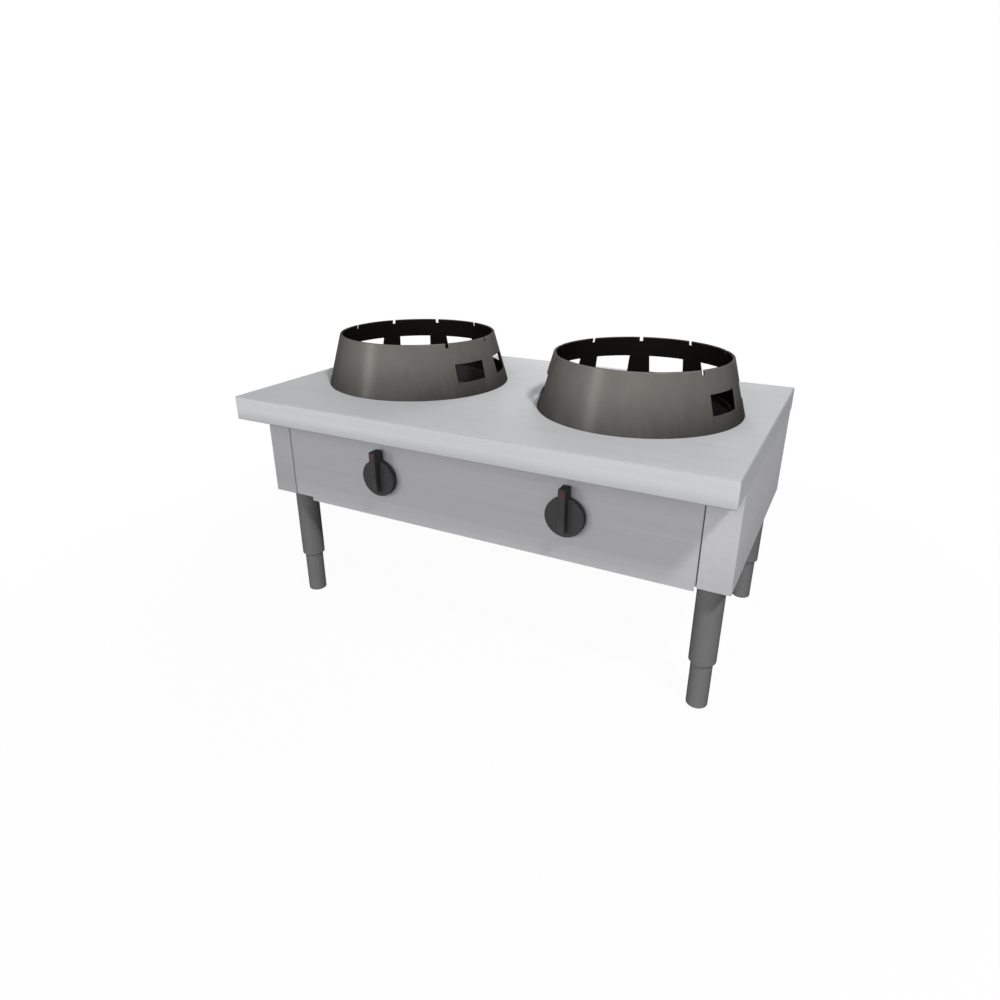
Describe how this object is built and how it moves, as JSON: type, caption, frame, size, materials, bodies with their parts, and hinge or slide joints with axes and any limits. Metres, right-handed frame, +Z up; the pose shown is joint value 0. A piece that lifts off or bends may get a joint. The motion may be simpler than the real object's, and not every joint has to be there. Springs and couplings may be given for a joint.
{
  "type": "wok range",
  "caption": "Low free-standing gas wok range: overhanging stainless worktop, conical cast wok rings with rear windows over brass burners, lever knobs and telescopic round legs.",
  "frame": {"origin": "on the floor, under the middle of the worktop", "axes": "+Z up, -Y towards the cook, +X towards the cook's right hand"},
  "size_m": [1, 0.61, 0.605],
  "materials": {
    "stainless_steel": "fine brushed sheet",
    "cast_iron": "sand-cast, seasoned",
    "leg_coating": "dark grey, satin",
    "brass": "turned",
    "knob_plastic": "black, fine texture",
    "mark_paint": "dark red inlay",
    "bush_nylon": "moulded nylon",
    "tube_metal": "drawn tube",
    "galvanised_steel": "galvanised pipe",
    "zinc_plated_steel": "zinc plated"
  },
  "bodies": {
    "chassis": {"back_panel": "stainless_steel", "back_panel_screws": "zinc_plated_steel", "burner_bolts": "zinc_plated_steel", "burner_bowl_left": "stainless_steel", "burner_bowl_right": "stainless_steel", "burner_casting_left": "cast_iron", "burner_casting_right": "cast_iron", "burner_rail": "stainless_steel", "feed_tube_left": "tube_metal", "feed_tube_right": "tube_metal", "front_panel": "stainless_steel", "front_panel_screws": "zinc_plated_steel", "front_rail": "stainless_steel", "gas_inlet": "galvanised_steel", "gas_manifold": "galvanised_steel", "gas_tap_left": "brass", "gas_tap_right": "brass", "injector_left": "brass", "injector_right": "brass", "left_side_panel": "stainless_steel", "leg_bushes": "bush_nylon", "leg_lock_screws": "zinc_plated_steel", "leg_nuts": "zinc_plated_steel", "leg_tube_front_left": "leg_coating", "leg_tube_front_right": "leg_coating", "leg_tube_rear_left": "leg_coating", "leg_tube_rear_right": "leg_coating", "manifold_brackets": "galvanised_steel", "manifold_union": "galvanised_steel", "pilot_left": "tube_metal", "pilot_right": "tube_metal", "right_side_panel": "stainless_steel", "supply_pipe": "galvanised_steel", "thermocouple_left": "tube_metal", "thermocouple_right": "tube_metal", "worktop": "stainless_steel", "worktop_screws": "zinc_plated_steel"},
    "foot_front_left": {"leg_foot_front_left": "leg_coating"},
    "foot_front_right": {"leg_foot_front_right": "leg_coating"},
    "foot_rear_left": {"leg_foot_rear_left": "leg_coating"},
    "foot_rear_right": {"leg_foot_rear_right": "leg_coating"},
    "wok_ring_left": {"wok_ring_left": "cast_iron"},
    "burner_cap_left": {"burner_cap_left": "brass"},
    "air_shutter_left": {"air_shutter_left": "stainless_steel"},
    "tap_push_left": {"tap_thrust_ring_left": "brass"},
    "knob_left": {"knob_left": "knob_plastic", "knob_mark_left": "mark_paint", "tap_spindle_left": "brass"},
    "wok_ring_right": {"wok_ring_right": "cast_iron"},
    "burner_cap_right": {"burner_cap_right": "brass"},
    "air_shutter_right": {"air_shutter_right": "stainless_steel"},
    "tap_push_right": {"tap_thrust_ring_right": "brass"},
    "knob_right": {"knob_right": "knob_plastic", "knob_mark_right": "mark_paint", "tap_spindle_right": "brass"}
  },
  "joints": [
    {"name": "foot_front_left_height", "type": "slide", "parent": "chassis", "child": "foot_front_left", "axis": [0, 0, -1], "range_m": [-0.05, 0.04]},
    {"name": "foot_front_right_height", "type": "slide", "parent": "chassis", "child": "foot_front_right", "axis": [0, 0, -1], "range_m": [-0.05, 0.04]},
    {"name": "foot_rear_left_height", "type": "slide", "parent": "chassis", "child": "foot_rear_left", "axis": [0, 0, -1], "range_m": [-0.05, 0.04]},
    {"name": "foot_rear_right_height", "type": "slide", "parent": "chassis", "child": "foot_rear_right", "axis": [0, 0, -1], "range_m": [-0.05, 0.04]},
    {"name": "wok_ring_left_lift", "type": "slide", "parent": "chassis", "child": "wok_ring_left", "axis": [0, 0, 1], "range_m": [0, 0.15]},
    {"name": "burner_cap_left_lift", "type": "slide", "parent": "chassis", "child": "burner_cap_left", "axis": [0, 0, 1], "range_m": [0, 0.15]},
    {"name": "air_shutter_left_slide", "type": "slide", "parent": "chassis", "child": "air_shutter_left", "axis": [0, 1, 0], "range_m": [-0.0025, 0.006]},
    {"name": "knob_left_push", "type": "slide", "parent": "chassis", "child": "tap_push_left", "axis": [0, 1, 0], "range_m": [0, 0.004], "stiffness_N_per_m": 1500, "springref_m": -0.004},
    {"name": "knob_left_turn", "type": "hinge", "parent": "tap_push_left", "child": "knob_left", "pos_m": [-0.203, -0.25, 0.351], "axis": [0, -1, 0], "range_deg": [0, 180]},
    {"name": "wok_ring_right_lift", "type": "slide", "parent": "chassis", "child": "wok_ring_right", "axis": [0, 0, 1], "range_m": [0, 0.15]},
    {"name": "burner_cap_right_lift", "type": "slide", "parent": "chassis", "child": "burner_cap_right", "axis": [0, 0, 1], "range_m": [0, 0.15]},
    {"name": "air_shutter_right_slide", "type": "slide", "parent": "chassis", "child": "air_shutter_right", "axis": [0, 1, 0], "range_m": [-0.0025, 0.006]},
    {"name": "knob_right_push", "type": "slide", "parent": "chassis", "child": "tap_push_right", "axis": [0, 1, 0], "range_m": [0, 0.004], "stiffness_N_per_m": 1500, "springref_m": -0.004},
    {"name": "knob_right_turn", "type": "hinge", "parent": "tap_push_right", "child": "knob_right", "pos_m": [0.203, -0.25, 0.351], "axis": [0, -1, 0], "range_deg": [0, 180]}
  ]
}
